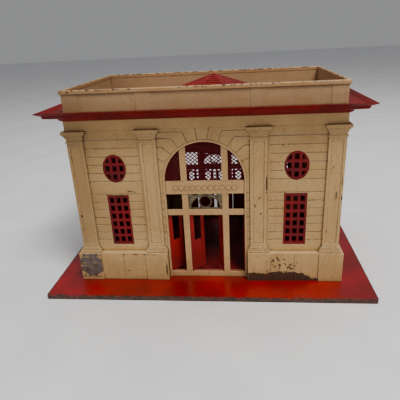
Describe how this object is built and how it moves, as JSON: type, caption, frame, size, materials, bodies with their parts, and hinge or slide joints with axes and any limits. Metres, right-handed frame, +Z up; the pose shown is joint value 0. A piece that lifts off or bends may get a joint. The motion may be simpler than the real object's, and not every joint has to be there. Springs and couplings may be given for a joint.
{
  "type": "toy railway station building",
  "caption": "Pressed steel toy railway station with arched portals, hinged doors, windows, a cornice, a parapet, a lift-off skylight and a lamp inside",
  "frame": {"origin": "Middle of the surface that the base stands on.", "axes": "+X runs along the building to the right, -Y is the front with the open doors, +Z is up."},
  "size_m": [0.3492, 0.235, 0.2198],
  "materials": {
    "cream_enamel": "worn satin",
    "red_enamel": "worn gloss",
    "dark_red_enamel": "satin",
    "nickel": "tarnished polish",
    "plated_steel": "dull",
    "brass": "tarnished",
    "fibre": "matte",
    "lamp_glass": "frosted",
    "wire_cover": "braided",
    "rubber": "matte"
  },
  "bodies": {
    "station": {"base_plate": "red_enamel", "front_wall": "cream_enamel", "rear_wall": "cream_enamel", "left_wall": "cream_enamel", "right_wall": "cream_enamel", "front_portal": "cream_enamel", "rear_portal": "cream_enamel", "front_arch_grille": "dark_red_enamel", "rear_arch_grille": "dark_red_enamel", "front_transom_ornament": "nickel", "rear_transom_ornament": "nickel", "front_oval_windows": "red_enamel", "rear_oval_windows": "red_enamel", "left_oval_windows": "red_enamel", "right_oval_windows": "red_enamel", "front_tall_windows": "red_enamel", "rear_tall_windows": "red_enamel", "left_tall_windows": "red_enamel", "right_tall_windows": "red_enamel", "cornice": "red_enamel", "roof_deck": "red_enamel", "parapet": "cream_enamel", "parapet_rim": "cream_enamel", "lamp_bracket": "plated_steel", "bracket_rivets": "plated_steel", "lamp_socket": "brass", "socket_washers": "fibre", "bulb_cap": "brass", "bulb_glass": "lamp_glass", "lamp_lead_a": "wire_cover", "lamp_lead_b": "wire_cover", "lead_grommet": "rubber", "terminal_strip": "fibre", "terminal_screws": "brass", "terminal_hex_nuts": "brass"},
    "skylight": {"skylight_cap": "red_enamel", "skylight_collar": "red_enamel"},
    "front_door_a": {"front_door_a": "red_enamel"},
    "front_door_b": {"front_door_b": "red_enamel"},
    "front_door_c": {"front_door_c": "red_enamel"},
    "front_door_d": {"front_door_d": "red_enamel"},
    "rear_door_a": {"rear_door_a": "red_enamel"},
    "rear_door_b": {"rear_door_b": "red_enamel"},
    "rear_door_c": {"rear_door_c": "red_enamel"},
    "rear_door_d": {"rear_door_d": "red_enamel"},
    "thumb_nut_a": {"thumb_nut_a": "brass"},
    "thumb_nut_b": {"thumb_nut_b": "brass"}
  },
  "joints": [
    {"name": "skylight_lift", "type": "slide", "parent": "station", "child": "skylight", "axis": [0, 0, 1], "range_m": [0, 0.06]},
    {"name": "front_door_a_swing", "type": "hinge", "parent": "station", "child": "front_door_a", "pos_m": [-0.041, -0.0745, 0.0463], "axis": [0, 0, 1], "range_deg": [-42, 53]},
    {"name": "front_door_b_swing", "type": "hinge", "parent": "station", "child": "front_door_b", "pos_m": [-0.0177, -0.0745, 0.0463], "axis": [0, 0, 1], "range_deg": [-38, 57]},
    {"name": "front_door_c_swing", "type": "hinge", "parent": "station", "child": "front_door_c", "pos_m": [0.0177, -0.0745, 0.0463], "axis": [0, 0, -1], "range_deg": [-73, 22]},
    {"name": "front_door_d_swing", "type": "hinge", "parent": "station", "child": "front_door_d", "pos_m": [0.041, -0.0745, 0.0463], "axis": [0, 0, -1], "range_deg": [-88, 7]},
    {"name": "rear_door_a_swing", "type": "hinge", "parent": "station", "child": "rear_door_a", "pos_m": [0.041, 0.0859, 0.0463], "axis": [0, 0, 1], "range_deg": [-26, 69]},
    {"name": "rear_door_b_swing", "type": "hinge", "parent": "station", "child": "rear_door_b", "pos_m": [0.0177, 0.0859, 0.0463], "axis": [0, 0, 1], "range_deg": [-26, 69]},
    {"name": "rear_door_c_swing", "type": "hinge", "parent": "station", "child": "rear_door_c", "pos_m": [-0.0177, 0.0859, 0.0463], "axis": [0, 0, -1], "range_deg": [-26, 69]},
    {"name": "rear_door_d_swing", "type": "hinge", "parent": "station", "child": "rear_door_d", "pos_m": [-0.041, 0.0859, 0.0463], "axis": [0, 0, -1], "range_deg": [-26, 69]},
    {"name": "thumb_nut_a_turn", "type": "hinge", "parent": "station", "child": "thumb_nut_a", "pos_m": [0.118, 0.1065, 0.0105], "axis": [0, 0, 1], "continuous": true},
    {"name": "thumb_nut_b_turn", "type": "hinge", "parent": "station", "child": "thumb_nut_b", "pos_m": [0.138, 0.1065, 0.0105], "axis": [0, 0, 1], "continuous": true}
  ]
}
